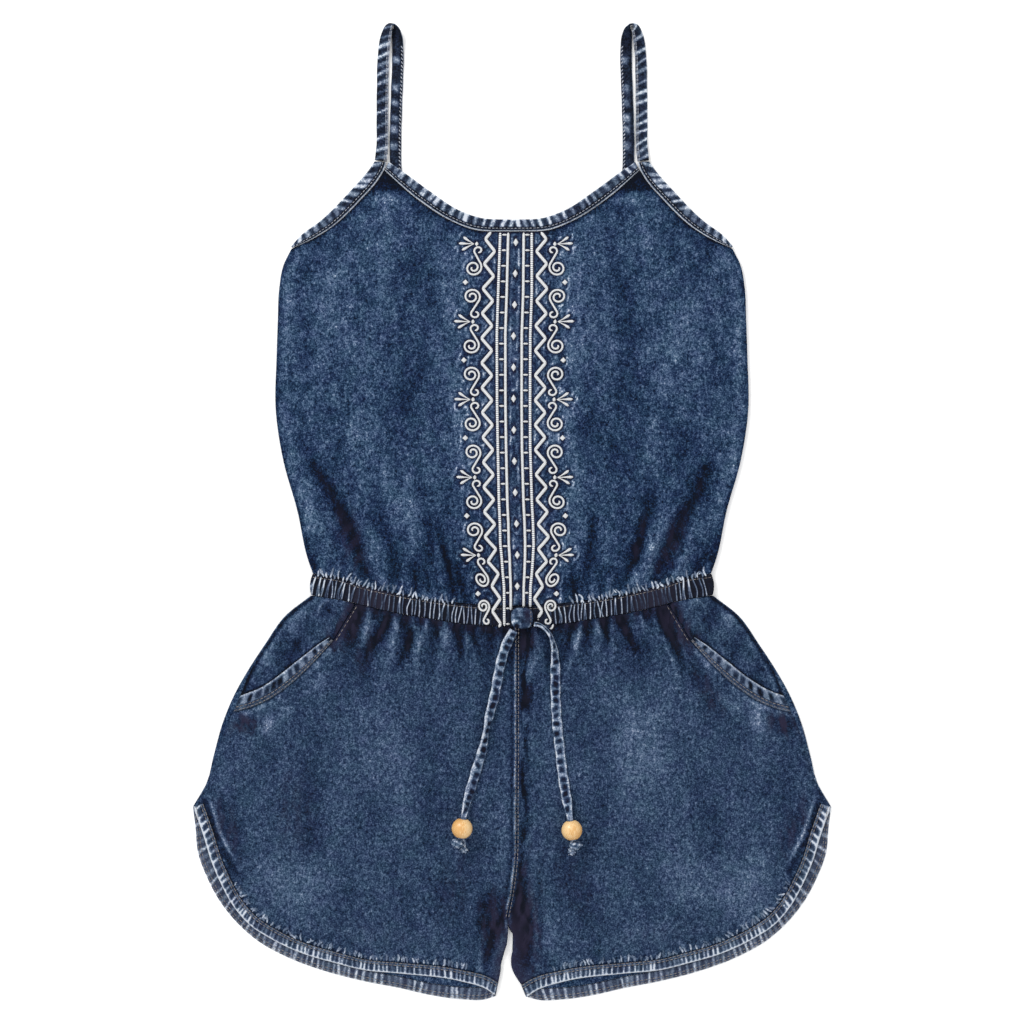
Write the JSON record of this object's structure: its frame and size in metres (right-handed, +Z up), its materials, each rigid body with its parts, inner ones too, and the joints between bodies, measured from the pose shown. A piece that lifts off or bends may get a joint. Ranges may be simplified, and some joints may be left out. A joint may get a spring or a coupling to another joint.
{
  "type": "short jumpsuit",
  "caption": "Girl's sleeveless short jumpsuit in washed denim with thin straps, embroidered front, gathered waist, beaded drawstring and curved hems, laid flat.",
  "frame": {"origin": "on the surface it lies on, under the middle of the garment's box", "axes": "+Y from the legs to the straps, +Z up off the surface through back and front, +X to the viewer's right as the front is seen from above"},
  "size_m": [0.4478, 0.6864, 0.019],
  "materials": {
    "washed_denim": "light twill, stone-washed indigo, mottled, matt",
    "bound_denim": "folded bias strips of the same denim, paler at the edges",
    "gathered_denim": "the same denim gathered on elastic, with pale ridges",
    "hem_denim": "turned denim bands, puckered and abraded pale",
    "tie_denim": "narrow folded denim strip with pale edges",
    "light_wood": "lacquered pale wood beads, satin"
  },
  "bodies": {
    "root": {"front_bodice": "washed_denim", "back_bodice": "washed_denim", "neck_binding": "bound_denim", "armhole_binding_left": "bound_denim", "armhole_binding_right": "bound_denim", "strap_left": "bound_denim", "strap_right": "bound_denim", "waist_casing_front": "gathered_denim", "waist_casing_back": "gathered_denim", "shorts_front_left": "washed_denim", "shorts_front_right": "washed_denim", "shorts_back_left": "washed_denim", "shorts_back_right": "washed_denim", "pocket_panel_left": "washed_denim", "pocket_panel_right": "washed_denim", "pocket_band_left": "hem_denim", "pocket_band_right": "hem_denim", "hem_front_left": "hem_denim", "hem_front_right": "hem_denim", "hem_back_left": "hem_denim", "hem_back_right": "hem_denim", "tie_knot": "tie_denim", "tie_left": "tie_denim", "tie_right": "tie_denim", "bead_left": "light_wood", "bead_right": "light_wood", "knot_left": "tie_denim", "knot_right": "tie_denim"}
  },
  "joints": []
}
